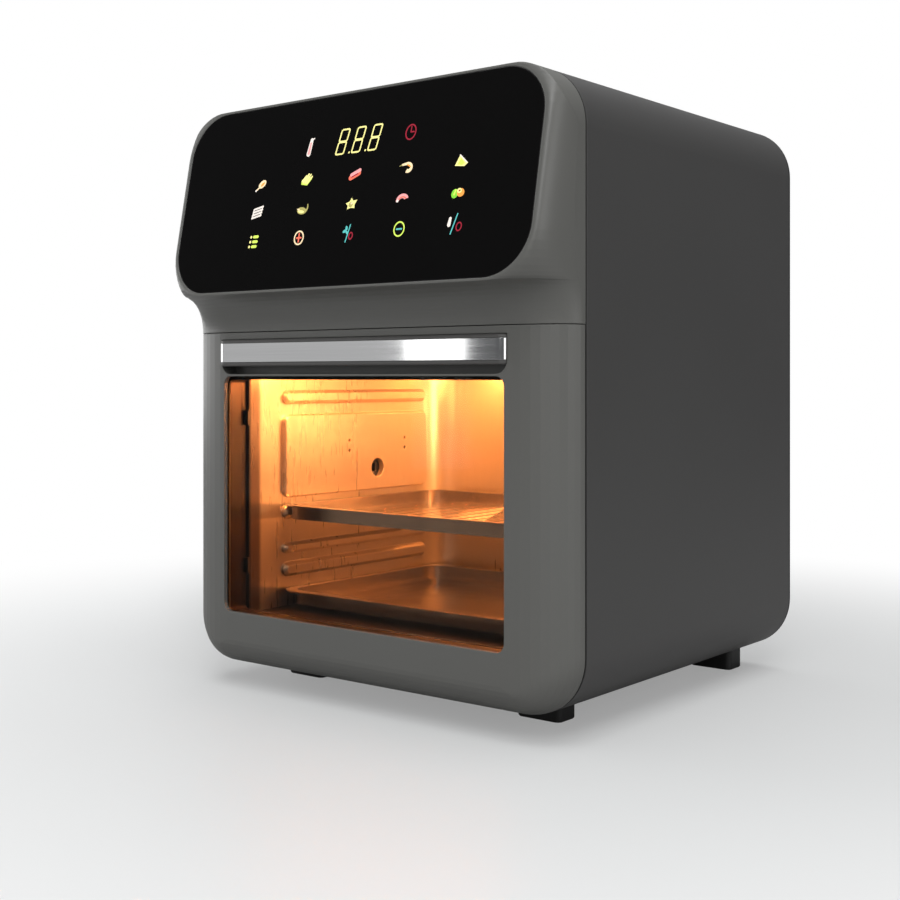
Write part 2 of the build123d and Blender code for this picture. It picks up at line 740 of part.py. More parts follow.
def heating_element():
    """Sheathed element: an outer and an inner ring joined by a return bend, ends going up."""
    z = at(element_level)
    outer = CenterArc((0, axis_y, 0), ring_outer, 90 + element_gap, 360 - 2 * element_gap)
    inner = CenterArc((0, axis_y, 0), ring_inner, 90 + element_gap, 360 - 2 * element_gap)
    section = Circle(element_radius)
    pieces = []
    for ring in (outer, inner):
        start = Plane(origin=ring @ 0, z_dir=ring % 0)
        pieces.append(sweep(start * section, path=ring))
    solid = pieces[0] + pieces[1]
    a, b = outer @ 1, inner @ 1
    solid += rod_between(a, b, element_radius)
    for end in (a, b):
        solid += Pos(end.X, end.Y, 0) * Sphere(element_radius)
    solid = Pos(0, 0, z) * solid
    for end in (outer @ 0, inner @ 0):
        solid += Pos(end.X, end.Y, z) * Sphere(element_radius)
        solid += rod_z(end.X, end.Y, z, at(chamber_level) + 10, element_radius)
    return solid


def rod_between(start, end, radius):
    line = Line(start, end)
    return sweep(Plane(origin=start, z_dir=line % 0) * Circle(radius), path=line)


def element_brackets():
    """Steel straps that hang the element from the chamber's lid."""
    z0, z1 = at(element_level) + element_radius, at(chamber_level)
    for x in (-1, 1):
        strap = block(x * 78 - 14, x * 78 + 14, axis_y - 6, axis_y + 6, z0, z0 + 1)
        yield strap + block(x * 78 - 2, x * 78 + 2, axis_y - 6, axis_y + 6, z0, z1)


def temperature_probe():
    probe = rod_y(probe_x, cavity_back - 26, cavity_back + 10, probe_z, 2.0)
    return probe + rod_y(probe_x, cavity_back + sheet, cavity_back + 3, probe_z, 5)


def thermal_cutout():
    x, y, z = 80.0, axis_y + 40, at(chamber_level) + sheet
    return rod_z(x, y, z, z + 7, 8) + block(x - 12, x + 12, y - 4, y + 4, z, z + 1)


def lamp_cover():
    """Domed glass over the oven lamp, seated in the right wall's raised panel."""
    face = cavity_half_width - boss_panel_rise
    cover = rod_x(face - 2.2, face + 4, lamp_y, lamp_z, lamp_radius - 0.15)
    cover -= rod_x(face, face + 5, lamp_y, lamp_z, lamp_radius - 2.4)
    return chamfer(cover.faces().sort_by(Axis.X)[0].edges(), 1.2)


def lamp_housing():
    """Steel cup behind the lamp's cover."""
    x0, x1 = cavity_half_width + sheet, cavity_half_width + 29
    cup = rod_x(x0, x1, lamp_y, lamp_z, 19) - rod_x(x0 - 1, x1 - 1, lamp_y, lamp_z, 18)
    return cup - rod_x(x1 - 3, x1 + 1, lamp_y, lamp_z, 9)


def lamp_holder():
    x1 = cavity_half_width + 29
    holder = rod_x(x1 - 8, x1 + 5, lamp_y, lamp_z, 9)
    return holder - rod_x(x1 - 9, x1 - 2, lamp_y, lamp_z, 4.2)


def lamp_bulb():
    x1 = cavity_half_width + 29
    bulb = rod_x(x1 - 20, x1 - 8.4, lamp_y, lamp_z, 6.5) + Pos(x1 - 20, lamp_y, lamp_z) * Sphere(6.5)
    return bulb + rod_x(x1 - 9, x1 - 2.2, lamp_y, lamp_z, 4.0)


# ---------------------------------------------------------------- rotisserie drive
socket_radius = 6.4
bush_radius = 8.0
spit_square = 6.2             # square end of a spit that the socket takes
socket_depth = 12.0
motor_gap = 9.0               # from the cavity wall to the gear motor


def rotisserie_socket():
    """Turning socket with a square hole, on the gear motor's output stub."""
    face = -cavity_half_width - sheet - 0.6
    back = -cavity_half_width - sheet - motor_gap + 0.6
    socket = rod_x(back, face, drive_y, drive_z, socket_radius)
    square = Pos(drive_y, drive_z) * Rectangle(spit_square, spit_square)
    reach = min(socket_depth, face - back - 1.5)
    socket -= sideways(square, face - reach, face + 1)
    return socket + rod_x(back - 12, back, drive_y, drive_z, shaft_radius)


def rotisserie_motor():
    """Small synchronous gear motor outside the left wall."""
    face = -cavity_half_width - sheet - motor_gap
    motor = rod_x(face - 18, face, drive_y, drive_z, 25)
    motor -= rod_x(face - 13, face + 1, drive_y, drive_z, shaft_radius + running_gap)
    return motor


def rotisserie_spacers():
    """Posts that hold the gear motor off the hot wall."""
    face = -cavity_half_width - sheet
    for angle in (45, 135, 225, 315):
        y, z = drive_y + 19 * cos(radians(angle)), drive_z + 19 * sin(radians(angle))
        yield rod_x(face - motor_gap, face, y, z, 3)


def spit_bush():
    """Flanged bush in the right wall that carries a spit's far end."""
    face = cavity_half_width - boss_panel_rise
    bush = rod_x(face - 1.5, face, drive_y, drive_z, bush_radius + 2.5)
    bush += rod_x(face, face + 9, drive_y, drive_z, bush_radius - 0.05)
    return bush - rod_x(face - 2, face + 7, drive_y, drive_z, 4.1)


# ---------------------------------------------------------------- fans and motor
fan_radius = 50.0
fan_low = 203.0
motor_low = 262.0
cooling_low = 304.0


def motor_shaft():
    return rod_z(0, axis_y, at(fan_low) - 1, at(cooling_low) + 14, shaft_radius)


def bladed_wheel(radius, low, height, blades, hub_radius, disc_at_top):
    """A disc with radial blades and a hub, bored for the motor shaft."""
    z0, z1 = at(low), at(low) + height
    disc_low = z1 - 1 if disc_at_top else z0
    wheel = rod_z(0, axis_y, z0, z1, hub_radius) + rod_z(0, axis_y, disc_low, disc_low + 1, radius)
    for index in range(blades):
        blade = block(hub_radius - 1, radius, -0.6, 0.6, z0, z1)
        wheel += Pos(0, axis_y, 0) * Rot(0, 0, index * 360 / blades) * blade
    return wheel - rod_z(0, axis_y, z0 - 1, z1 + 1, shaft_radius)


def hot_air_fan():
    return bladed_wheel(fan_radius, fan_low, 20.0, 8, 7.0, True)


def cooling_fan():
    return bladed_wheel(44.0, cooling_low, 12.0, 10, 8.0, False)


rotor_radius = 14.0


def motor_stator():
    """Laminated core with a round tunnel for the rotor."""
    low, high = at(motor_low) + 8, at(motor_low) + 26
    core = block(-32, 32, axis_y - 26, axis_y + 44, low, high)
    core -= rod_z(0, axis_y, low - 1, high + 1, rotor_radius + 0.5)
    return core - block(-20, 20, axis_y + 20, axis_y + 32, low - 1, high + 1)


def motor_coil():
    low, high = at(motor_low) + 3, at(motor_low) + 31
    coil = block(-18, 18, axis_y + 21, axis_y + 54, low, high)
    return coil - block(-33, 33, axis_y + 32, axis_y + 44, at(motor_low) + 8, at(motor_low) + 26)


def motor_rotor():
    low, high = at(motor_low) + 8, at(motor_low) + 26
    return rod_z(0, axis_y, low, high, rotor_radius) - rod_z(0, axis_y, low - 1, high + 1, shaft_radius)


def motor_bridges():
    """Bearing plates below and above the core; the shaft turns in their bores."""
    for low in (motor_low, motor_low + 32):
        plate = block(-30, 30, axis_y - 12, axis_y + 12, at(low), at(low) + 2)
        plate += rod_z(0, axis_y, at(low) - 2, at(low) + 4, 7)
        yield plate - rod_z(0, axis_y, at(low) - 3, at(low) + 5, shaft_radius + running_gap)


def motor_posts():
    """Pillars that carry the bearing plates and the core on the heat shield."""
    for x in (-26, 26):
        for y in (axis_y - 9, axis_y + 9):
            lower = rod_z(x, y, at(shield_level) + sheet, at(motor_low), 2.5)
            yield lower
            yield rod_z(x, y, at(motor_low) + 2, at(motor_low) + 8, 2.5)
            yield rod_z(x, y, at(motor_low) + 26, at(motor_low) + 32, 2.5)


def heat_shield():
    """Deck across the case above the hot chamber, with turned-up edges."""
    edge = half_width - shell_wall - fit_gap
    y0, y1 = shell_y + 0.2, rear_y - 25
    deck = block(-edge, edge, y0, y1, at(shield_level), at(shield_level) + sheet)
    for x in (-edge, edge - sheet):
        deck += block(x, x + sheet, y0, y1, at(shield_level), at(shield_level) + 12)
    deck -= rod_z(0, axis_y, at(shield_level) - 1, at(shield_level) + 3, 10)
    for x, y in element_terminal_spots():
        deck -= rod_z(x, y, at(shield_level) - 1, at(shield_level) + 3, 6)
    return deck


def element_terminal_spots():
    angle = radians(90 + element_gap)
    return [(r * cos(angle), axis_y + r * sin(angle)) for r in (ring_outer, ring_inner)]


def shield_posts():
    for x in (-96, 96):
        for y in (axis_y - 80, axis_y + 70):
            yield rod_z(x, y, at(chamber_level) + sheet, at(shield_level), 3)


# ---------------------------------------------------------------- electronics bay
power_x0, power_x1 = -146.0, -60.0
power_y0, power_y1 = axis_y - 55, axis_y + 60
power_level = 258.0


def power_board():
    return block(power_x0, power_x1, power_y0, power_y1, at(power_level), at(power_level) + 1.6)


def power_board_posts():
    for x in (power_x0 + 6, power_x1 - 6):
        for y in (power_y0 + 6, power_y1 - 6):
            yield rod_z(x, y, at(shield_level) + sheet, at(power_level), 2.5)


def power_board_components():
    """Transformer, relays, capacitors, fuse and terminal strip, standing on the board."""
    z = at(power_level) + 1.6
    x, y = power_x0, power_y0
    yield block(x + 10, x + 42, y + 12, y + 40, z, z + 26)
    for index in range(3):
        yield block(x + 50, x + 69, y + 10 + index * 20, y + 25 + index * 20, z, z + 15)
    for spot, radius, tall in (((18, 55), 8, 20), ((38, 55), 5, 12), ((18, 76), 5, 14)):
        yield rod_z(x + spot[0], y + spot[1], z, z + tall, radius)
    yield rod_y(x + 40, y + 70, y + 92, z + 3, 2.9)
    yield block(x + 12, x + 74, y + 98, y + 108, z, z + 12)


def ribbon_cable():
    """Flat lead from behind the touch board down and across to the power board."""
    x0, x1, thick = -104.0, -88.0, 1.2
    start = panel_plane.offset(-board_depth).origin
    y0, z_end = start.Y + 6.0, at(power_level) + 1.6
    drop = block(x0, x1, y0, y0 + thick, z_end + 14, start.Z)
    run = block(x0, x1, y0, power_y0 + 4, z_end + 14 - thick, z_end + 14)
    end = block(x0, x1, power_y0 + 4 - thick, power_y0 + 4, z_end, z_end + 14)
    plug = block(x0, x1, start.Y + 0.1, y0 + thick / 2, start.Z - 5, start.Z)
    tilt = Pos(0, start.Y, start.Z) * Rot(-panel_lean, 0, 0) * Pos(0, -start.Y, -start.Z)
    socket = tilt * plug
    return drop + run + end + socket


# ---------------------------------------------------------------- trays
tray_y0 = cavity_y + tray_setback
tray_y1 = tray_y0 + tray_depth
mesh_rim_level = guide_levels[2][0] + guide_levels[2][1] + fit_gap
drip_low = cavity_floor_level + fit_gap
tray_sheet = 1.0
tray_lip = 3.6                # flat rim that rides on the guides


def tray_plan(inset, radius):
    width, depth = 2 * (tray_half_width - inset), tray_depth - 2 * inset
    return Pos(0, (tray_y0 + tray_y1) / 2) * RectangleRounded(width, depth, radius)


def mesh_tray():
    """Shallow air-fry tray: flat rim, sloping sides and a slotted floor."""
    rim_top = at(mesh_rim_level) + tray_sheet
    low = rim_top - tray_sheet - mesh_tray_drop
    tray = flat(tray_plan(0, 16), rim_top - tray_sheet, rim_top)
    tray += flat(tray_plan(tray_lip, 13), low, rim_top)
    tray -= flat(tray_plan(tray_lip + tray_sheet, 12), low + tray_sheet, rim_top + 1)
    slots = spread(GridLocations(13.5, 8.6, 14, 16), SlotOverall(9.5, 4.2))
    slots = Pos(0, (tray_y0 + tray_y1) / 2) * slots
    return tray - flat(slots, low - 1, low + 3)


def drip_tray():
    """Solid tray on the oven's floor: wide rim, a step, and a shallow floor."""
    low, high = at(drip_low), at(drip_low) + drip_tray_drop
    tray = flat(tray_plan(0, 16), high - tray_sheet, high)
    tray += flat(tray_plan(6, 12), low + 3, high)
    tray += flat(tray_plan(15, 8), low, low + 4)
    tray -= flat(tray_plan(6 + tray_sheet, 11), low + 3 + tray_sheet, high + 1)
    return tray - flat(tray_plan(15 + tray_sheet, 7), low + tray_sheet, high)


# ---------------------------------------------------------------- write every node
os.makedirs("parts", exist_ok=True)
save("body_shell", body_shell())
save("rear_cover", rear_cover())
save("rear_cover_screws", *rear_cover_screws())
save("feet", *feet())
save("foot_screws", *foot_screws())
save("cord_gland", cord_gland())
save("front_frame", hinge_arm_passages(front_frame()))
save("control_head", control_head())
save("control_panel_glass", control_panel_glass())
save("touch_board", touch_board())
save("touch_board_screws", *touch_board_screws())
save("touch_springs", *touch_springs())
save("display_module", display_module())
save("buzzer", buzzer())
save("door_frame", door_frame())
save("outer_glass", outer_glass())
save("glass_seal", glass_seal())
save("inner_pan", inner_pan())
save("inner_glass", inner_glass())
save("glass_clips", *glass_clips())
save("door_magnets", *door_magnets())
save("hinge_pins", *hinge_pins())
save("hinge_arms", *hinge_arms())
save("handle_bar", handle_bar())
save("handle_trim", handle_trim())
save("handle_screws", *handle_screws())
save("switch_plunger", switch_plunger())
save("door_switch", door_switch())
save("cavity_wrap", cavity_wrap())
save("cavity_floor", cavity_floor())
save("fan_guard", fan_guard())
save("chamber_top", chamber_top())
save("heating_element", heating_element())
save("element_brackets", *element_brackets())
save("temperature_probe", temperature_probe())
save("thermal_cutout", thermal_cutout())
save("lamp_cover", lamp_cover())
save("lamp_housing", lamp_housing())
save("lamp_holder", lamp_holder())
save("lamp_bulb", lamp_bulb())
save("rotisserie_socket", rotisserie_socket())
save("rotisserie_motor", rotisserie_motor())
save("rotisserie_spacers", *rotisserie_spacers())
save("spit_bush", spit_bush())
save("motor_shaft", motor_shaft())
save("hot_air_fan", hot_air_fan())
save("cooling_fan", cooling_fan())
save("motor_stator", motor_stator())
save("motor_coil", motor_coil())
save("motor_rotor", motor_rotor())
save("motor_bridges", *motor_bridges())
save("motor_posts", *motor_posts())
save("heat_shield", heat_shield())
save("shield_posts", *shield_posts())
save("power_board", power_board())
save("power_board_posts", *power_board_posts())
save("power_board_components", *power_board_components())
save("ribbon_cable", ribbon_cable())
save("mesh_tray", mesh_tray())
save("drip_tray", drip_tray())
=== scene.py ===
import math

import bmesh
import bpy
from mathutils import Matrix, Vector


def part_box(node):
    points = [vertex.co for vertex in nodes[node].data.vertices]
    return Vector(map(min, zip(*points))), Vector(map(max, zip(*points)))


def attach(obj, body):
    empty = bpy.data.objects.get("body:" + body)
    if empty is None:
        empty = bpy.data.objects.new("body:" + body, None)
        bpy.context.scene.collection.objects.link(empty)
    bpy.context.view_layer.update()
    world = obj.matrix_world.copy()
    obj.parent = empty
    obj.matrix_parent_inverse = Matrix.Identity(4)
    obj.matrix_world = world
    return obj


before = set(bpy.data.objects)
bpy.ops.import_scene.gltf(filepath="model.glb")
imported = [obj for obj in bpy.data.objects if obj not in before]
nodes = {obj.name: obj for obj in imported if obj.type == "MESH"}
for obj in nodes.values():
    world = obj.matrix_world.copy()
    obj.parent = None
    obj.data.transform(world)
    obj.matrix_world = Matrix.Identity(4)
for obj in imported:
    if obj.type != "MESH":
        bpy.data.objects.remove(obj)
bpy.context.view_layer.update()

# ------------------------------------------------------------------ case shell
# One wrap of steel sheet, bent round the top, sides and bottom, with air slots below.
# Powder coated in a dark neutral grey with a very fine orange-peel skin.


def make_group(name, inputs, outputs):
    """An empty shader node group with named sockets, and its two end nodes."""
    group = bpy.data.node_groups.new(name, "ShaderNodeTree")
    for label, kind, value in inputs:
        socket = group.interface.new_socket(name=label, in_out="INPUT", socket_type=kind)
        socket.default_value = value
    for label, kind in outputs:
        group.interface.new_socket(name=label, in_out="OUTPUT", socket_type=kind)
    return group, group.nodes.new("NodeGroupInput"), group.nodes.new("NodeGroupOutput")


def surface_grain():
    """Fine grain over slow patches: colour between two tints, roughness and a height."""
    fine_share, slow_share = 0.45, 0.55
    noise_low, noise_high = 0.3, 0.7
    group, given, result = make_group(
        "surface_grain",
        [("Stretch", "NodeSocketVector", (1, 1, 1)), ("Grain", "NodeSocketFloat", 900.0),
         ("Patch", "NodeSocketFloat", 9.0), ("Light tint", "NodeSocketColor", (1, 1, 1, 1)),
         ("Dark tint", "NodeSocketColor", (0, 0, 0, 1)), ("Rough low", "NodeSocketFloat", 0.3),
         ("Rough high", "NodeSocketFloat", 0.5)],
        [("Colour", "NodeSocketColor"), ("Roughness", "NodeSocketFloat"),
         ("Height", "NodeSocketFloat")])
    nodes_in, link = group.nodes, group.links.new
    place = nodes_in.new("ShaderNodeTexCoord")
    stretch = nodes_in.new("ShaderNodeVectorMath")
    stretch.operation = "MULTIPLY"
    link(place.outputs["Object"], stretch.inputs[0])
    link(given.outputs["Stretch"], stretch.inputs[1])
    fine = nodes_in.new("ShaderNodeTexNoise")
    fine.inputs["Detail"].default_value = 3.0
    link(stretch.outputs[0], fine.inputs["Vector"])
    link(given.outputs["Grain"], fine.inputs["Scale"])
    slow = nodes_in.new("ShaderNodeTexNoise")
    slow.inputs["Detail"].default_value = 4.0
    link(stretch.outputs[0], slow.inputs["Vector"])
    link(given.outputs["Patch"], slow.inputs["Scale"])
    share = nodes_in.new("ShaderNodeMath")
    share.operation = "MULTIPLY_ADD"
    link(fine.outputs["Fac"], share.inputs[0])
    share.inputs[1].default_value = fine_share
    blend = nodes_in.new("ShaderNodeMath")
    blend.operation = "MULTIPLY"
    blend.inputs[1].default_value = slow_share
    link(slow.outputs["Fac"], blend.inputs[0])
    link(blend.outputs[0], share.inputs[2])
    spread = nodes_in.new("ShaderNodeMapRange")
    spread.inputs["From Min"].default_value = noise_low
    spread.inputs["From Max"].default_value = noise_high
    link(share.outputs[0], spread.inputs["Value"])
    tint = nodes_in.new("ShaderNodeMix")
    tint.data_type = "RGBA"
    link(spread.outputs[0], tint.inputs["Factor"])
    link(given.outputs["Dark tint"], tint.inputs[6])
    link(given.outputs["Light tint"], tint.inputs[7])
    rough = nodes_in.new("ShaderNodeMapRange")
    link(share.outputs[0], rough.inputs["Value"])
    link(given.outputs["Rough low"], rough.inputs["To Min"])
    link(given.outputs["Rough high"], rough.inputs["To Max"])
    rough.inputs["From Min"].default_value = noise_low
    rough.inputs["From Max"].default_value = noise_high
    link(tint.outputs[2], result.inputs["Colour"])
    link(rough.outputs[0], result.inputs["Roughness"])
    link(fine.outputs["Fac"], result.inputs["Height"])
    return group


def rounded_edges():
    """A normal that softens sharp corners, and a mask of where they are."""
    mask_starts, mask_full = 0.98, 0.8      # cosine between the true and the softened normal
    group, given, result = make_group(
        "rounded_edges", [("Radius", "NodeSocketFloat", 0.0005)],
        [("Normal", "NodeSocketVector"), ("Edge", "NodeSocketFloat")])
    link = group.links.new
    bevel = group.nodes.new("ShaderNodeBevel")
    bevel.samples = 4
    link(given.outputs["Radius"], bevel.inputs["Radius"])
    facing = group.nodes.new("ShaderNodeNewGeometry")
    angle = group.nodes.new("ShaderNodeVectorMath")
    angle.operation = "DOT_PRODUCT"
    link(bevel.outputs[0], angle.inputs[0])
    link(facing.outputs["Normal"], angle.inputs[1])
    mask = group.nodes.new("ShaderNodeMapRange")
    mask.inputs["From Min"].default_value = mask_starts
    mask.inputs["From Max"].default_value = mask_full
    link(angle.outputs["Value"], mask.inputs["Value"])
    link(bevel.outputs[0], result.inputs["Normal"])
    link(mask.outputs[0], result.inputs["Edge"])
    return group


GRAIN = surface_grain()
EDGES = rounded_edges()


def finish(name, light, dark, rough, grain=900.0, patch=9.0, stretch=(1, 1, 1), bump=0.15,
           metallic=0.0, specular=0.5, edge=0.0005, edge_light=1.35):
    """A material with grain, patches and softened edges whose colour is painted lighter there as
    a highlight.
    """
    bump_depth = 0.00004
    made = bpy.data.materials.new(name)
    made.use_nodes = True
    tree = made.node_tree
    shader = tree.nodes["Principled BSDF"]
    grained = tree.nodes.new("ShaderNodeGroup")
    grained.node_tree = GRAIN
    grained.inputs["Stretch"].default_value = stretch
    grained.inputs["Grain"].default_value = grain
    grained.inputs["Patch"].default_value = patch
    grained.inputs["Light tint"].default_value = (*light, 1)
    grained.inputs["Dark tint"].default_value = (*dark, 1)
    grained.inputs["Rough low"].default_value = rough[0]
    grained.inputs["Rough high"].default_value = rough[1]
    edges = tree.nodes.new("ShaderNodeGroup")
    edges.node_tree = EDGES
    edges.inputs["Radius"].default_value = edge
    # Painted highlight: near sharp edges the colour turns to a lighter copy, edge_light times
    # the light tint.
    edge_highlight = tree.nodes.new("ShaderNodeMix")
    edge_highlight.data_type = "RGBA"
    edge_highlight.inputs[7].default_value = (*[min(1.0, edge_light * value) for value in light], 1)
    relief = tree.nodes.new("ShaderNodeBump")
    relief.inputs["Strength"].default_value = bump
    relief.inputs["Distance"].default_value = bump_depth
    link = tree.links.new
    link(edges.outputs["Edge"], edge_highlight.inputs["Factor"])
    link(grained.outputs["Colour"], edge_highlight.inputs[6])
    link(edge_highlight.outputs[2], shader.inputs["Base Color"])
    link(grained.outputs["Roughness"], shader.inputs["Roughness"])
    link(grained.outputs["Height"], relief.inputs["Height"])
    link(edges.outputs["Normal"], relief.inputs["Normal"])
    link(relief.outputs["Normal"], shader.inputs["Normal"])
    shader.inputs["Metallic"].default_value = metallic
    shader.inputs["Specular IOR Level"].default_value = specular
    return made


def coat_node(made, *names):
    """Give CAD nodes one material in place of the plain one they come with."""
    for name in names:
        mesh = nodes[name].data
        mesh.materials.clear()
        mesh.materials.append(made)


case_paint = finish("case_paint", (0.060, 0.059, 0.058), (0.052, 0.051, 0.050), (0.42, 0.5),
                    grain=1400.0, patch=6.0, bump=0.12, edge=0.0006)
coat_node(case_paint, "body_shell")

# ------------------------------------------------------------------ rear cover
# Moulded back with louvre slots and a rim that locates in the shell, held by black
# screws. Plain black heat-proof plastic with a fine spark-eroded texture.

cover_plastic = finish("cover_plastic", (0.030, 0.030, 0.031), (0.020, 0.020, 0.021),
                       (0.5, 0.62), grain=2200.0, patch=12.0, bump=0.5)
coat_node(cover_plastic, "rear_cover", "cord_gland")
black_oxide = finish("black_oxide", (0.10, 0.10, 0.105), (0.05, 0.05, 0.052), (0.35, 0.5),
                     grain=900.0, metallic=0.9, edge=0.0003)
coat_node(black_oxide, "rear_cover_screws", "foot_screws", "touch_board_screws",
          "handle_screws", "glass_clips")

# ------------------------------------------------------------------ feet
# Four black moulded feet under the case, each held by a screw in a recess.

foot_plastic = finish("foot_plastic", (0.018, 0.018, 0.017), (0.011, 0.011, 0.0105),
                      (0.45, 0.6), grain=1800.0, bump=0.35, edge=0.0009)
coat_node(foot_plastic, "feet")

# ------------------------------------------------------------------ oven box
# Bright rolled steel wrap with its pressed guides, guard and chamber lid, spot welded
# together and dulled in patches by heat. The bulkhead and the floor are black enamelled.

oven_steel = finish("oven_steel", (0.66, 0.60, 0.52), (0.58, 0.52, 0.45), (0.25, 0.33),
                    grain=260.0, patch=9.0, stretch=(1, 1, 0.12), bump=0.0,
                    metallic=0.72, edge=0.0010, edge_light=1.3)
coat_node(oven_steel, "cavity_wrap", "fan_guard", "chamber_top")
mouth_low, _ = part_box("cavity_wrap")
mouth_depth = 0.011


def painted_mouth_shade(made, start, depth, dark):
    """Darken a steel towards the oven's mouth, a painted shade where the front of the walls lies
    in shadow.
    """
    full_share = 0.6                        # part of the depth that is fully tinted
    tree = made.node_tree
    shader = tree.nodes["Principled BSDF"]
    place = tree.nodes.new("ShaderNodeTexCoord")
    axes = tree.nodes.new("ShaderNodeSeparateXYZ")
    reach = tree.nodes.new("ShaderNodeMapRange")
    reach.interpolation_type = "SMOOTHSTEP"
    reach.inputs["From Min"].default_value = start + depth
    reach.inputs["From Max"].default_value = start + full_share * depth
    tint = tree.nodes.new("ShaderNodeMix")
    tint.data_type = "RGBA"
    tint.inputs[7].default_value = (*dark, 1)
    before = shader.inputs["Base Color"].links[0].from_socket
    tree.links.new(place.outputs["Object"], axes.inputs[0])
    tree.links.new(axes.outputs["Y"], reach.inputs["Value"])
    tree.links.new(reach.outputs[0], tint.inputs["Factor"])
    tree.links.new(before, tint.inputs[6])
    tree.links.new(tint.outputs[2], shader.inputs["Base Color"])


# Painted shade along the mouth of the oven box, over its first 11 mm.
painted_mouth_shade(oven_steel, mouth_low.y, mouth_depth, (0.16, 0.12, 0.10))
black_enamel = finish("black_enamel", (0.012, 0.011, 0.011), (0.008, 0.008, 0.008),
                      (0.4, 0.55), grain=600.0, bump=0.1, edge=0.0006)
coat_node(black_enamel, "front_frame", "cavity_floor")

# ------------------------------------------------------------------ heating chamber
# Sheathed element rings on straps above the guard, a stirring fan between them, and the
# oven's probe and cut-out. The sheath is dull oxidised steel.

element_sheath = finish("element_sheath", (0.16, 0.15, 0.14), (0.07, 0.065, 0.06),
                        (0.45, 0.65), grain=700.0, patch=60.0, metallic=0.8, bump=0.3)
coat_node(element_sheath, "heating_element")
zinc_steel = finish("zinc_steel", (0.60, 0.61, 0.62), (0.42, 0.43, 0.44), (0.28, 0.45),
                    grain=420.0, patch=40.0, metallic=0.95, bump=0.1, edge=0.0003)
coat_node(zinc_steel, "element_brackets", "temperature_probe", "heat_shield", "shield_posts",
          "hinge_arms", "hinge_pins", "touch_springs", "motor_posts", "motor_bridges",
          "motor_shaft", "lamp_housing", "rotisserie_motor", "rotisserie_spacers",
          "spit_bush")
coat_node(black_oxide, "rotisserie_socket")
fan_metal = finish("fan_metal", (0.66, 0.66, 0.67), (0.5, 0.5, 0.51), (0.3, 0.42),
                   grain=300.0, metallic=0.95, bump=0.1, edge=0.0004)
coat_node(fan_metal, "hot_air_fan", "cooling_fan", "motor_rotor")

# ------------------------------------------------------------------ lamp
# Small halogen capsule in a ceramic holder, behind a domed glass in the right wall.

lamp_ceramic = finish("lamp_ceramic", (0.78, 0.76, 0.70), (0.66, 0.64, 0.58), (0.3, 0.5),
                      grain=900.0, bump=0.15)
coat_node(lamp_ceramic, "lamp_holder")


def clear_glass(name, tint, rough, let_through, ior=1.45):
    """Glass to the eye; lamp and bounced light go straight through, dimmed to one share."""
    smear_scale, smear_rough = 30.0, 0.03
    made = bpy.data.materials.new(name)
    made.use_nodes = True
    tree = made.node_tree
    shader = tree.nodes["Principled BSDF"]
    shader.inputs["Base Color"].default_value = (*tint, 1)
    shader.inputs["Transmission Weight"].default_value = 1.0
    shader.inputs["IOR"].default_value = ior
    smear = tree.nodes.new("ShaderNodeTexNoise")
    smear.inputs["Scale"].default_value = smear_scale
    level = tree.nodes.new("ShaderNodeMapRange")
    level.inputs["To Min"].default_value = rough
    level.inputs["To Max"].default_value = rough + smear_rough
    path = tree.nodes.new("ShaderNodeLightPath")
    through = tree.nodes.new("ShaderNodeBsdfTransparent")
    through.inputs["Color"].default_value = (let_through, let_through, let_through, 1)
    mix = tree.nodes.new("ShaderNodeMixShader")
    link = tree.links.new
    link(smear.outputs["Fac"], level.inputs["Value"])
    link(level.outputs[0], shader.inputs["Roughness"])
    soft = tree.nodes.new("ShaderNodeMath")
    soft.operation = "MAXIMUM"
    link(path.outputs["Is Shadow Ray"], soft.inputs[0])
    link(path.outputs["Is Diffuse Ray"], soft.inputs[1])
    link(soft.outputs[0], mix.inputs["Fac"])
    link(shader.outputs[0], mix.inputs[1])
    link(through.outputs[0], mix.inputs[2])
    link(mix.outputs[0], tree.nodes["Material Output"].inputs["Surface"])
    return made


lamp_glass = clear_glass("lamp_glass", (0.95, 0.93, 0.88), 0.02, 0.9)
coat_node(lamp_glass, "lamp_cover")
bulb_glow = finish("bulb_glow", (1.0, 0.86, 0.62), (0.98, 0.8, 0.5), (0.1, 0.2), bump=0.0)
bulb_shader = bulb_glow.node_tree.nodes["Principled BSDF"]
bulb_shader.inputs["Emission Color"].default_value = (1.0, 0.66, 0.30, 1)
bulb_shader.inputs["Emission Strength"].default_value = 14.0
coat_node(bulb_glow, "lamp_bulb")

# ------------------------------------------------------------------ motor and electronics
# Shaded-pole motor with two fans on one shaft, a power board with its parts, and the
# touch board, all in the bay above the heat shield and behind the glass panel.

lamination = finish("lamination", (0.28, 0.29, 0.30), (0.20, 0.21, 0.22), (0.35, 0.5),
                    grain=2600.0, stretch=(0.02, 0.02, 1), metallic=0.6, bump=0.6)
coat_node(lamination, "motor_stator")
coil_tape = finish("coil_tape", (0.46, 0.20, 0.07), (0.34, 0.13, 0.05), (0.35, 0.5),
                   grain=1500.0, stretch=(1, 1, 0.05), bump=0.5)
coat_node(coil_tape, "motor_coil")
solder_mask = finish("solder_mask", (0.04, 0.20, 0.08), (0.02, 0.12, 0.05), (0.25, 0.4),
                     grain=700.0, bump=0.2)
coat_node(solder_mask, "power_board", "touch_board")
component_black = finish("component_black", (0.05, 0.05, 0.05), (0.03, 0.03, 0.03),
                         (0.4, 0.55), grain=1500.0, bump=0.3)
coat_node(component_black, "power_board_components", "buzzer", "door_switch",
          "thermal_cutout", "power_board_posts", "display_module", "switch_plunger")
ribbon_vinyl = finish("ribbon_vinyl", (0.62, 0.62, 0.63), (0.40, 0.40, 0.42), (0.4, 0.5),
                      grain=900.0, stretch=(1, 0.02, 0.02), bump=0.6)
coat_node(ribbon_vinyl, "ribbon_cable")
